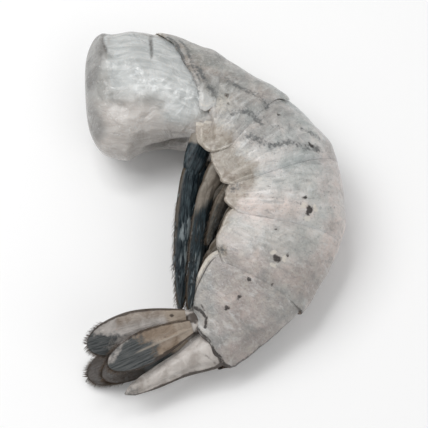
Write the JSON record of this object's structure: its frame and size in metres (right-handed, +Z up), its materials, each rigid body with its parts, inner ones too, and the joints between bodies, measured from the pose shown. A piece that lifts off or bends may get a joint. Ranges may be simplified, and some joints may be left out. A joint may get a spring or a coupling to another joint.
{
  "type": "raw tiger prawn",
  "caption": "Raw tiger prawn without its head, curled on its side: white flesh at the cut, overlapping grey shell plates, swimming legs inside the curl and a half-folded tail fan.",
  "frame": {"origin": "on the surface the prawn lies on, under the middle of its box", "axes": "+Z up, out of the left flank, which faces up. The curl lies in the XY plane: the back bulges to +X, the cut end is at -X +Y and the tail fan at -X -Y"},
  "size_m": [0.054, 0.0778, 0.0206],
  "materials": {
    "flesh": "wet, translucent white-grey",
    "shell": "wet, translucent grey with darker specks",
    "leg": "wet, tan to olive grey",
    "leg_dark": "wet, dark blue-black",
    "tail": "wet, brown-grey with dark ends"
  },
  "bodies": {
    "root": {"flesh": "flesh", "shell_1": "shell", "shell_2": "shell", "shell_3": "shell", "shell_4": "shell", "shell_5": "shell", "shell_6": "shell", "leg_left_1": "leg_dark", "leg_right_1": "leg_dark", "leg_left_2": "leg", "leg_right_2": "leg", "leg_left_3": "leg", "leg_right_3": "leg", "leg_left_4": "leg", "leg_right_4": "leg", "leg_left_5": "leg", "leg_right_5": "leg", "telson": "tail", "uropod_left": "tail", "uropod_right": "tail", "exopod_left": "tail", "exopod_right": "tail", "endopod_left": "tail", "endopod_right": "tail"}
  },
  "joints": []
}
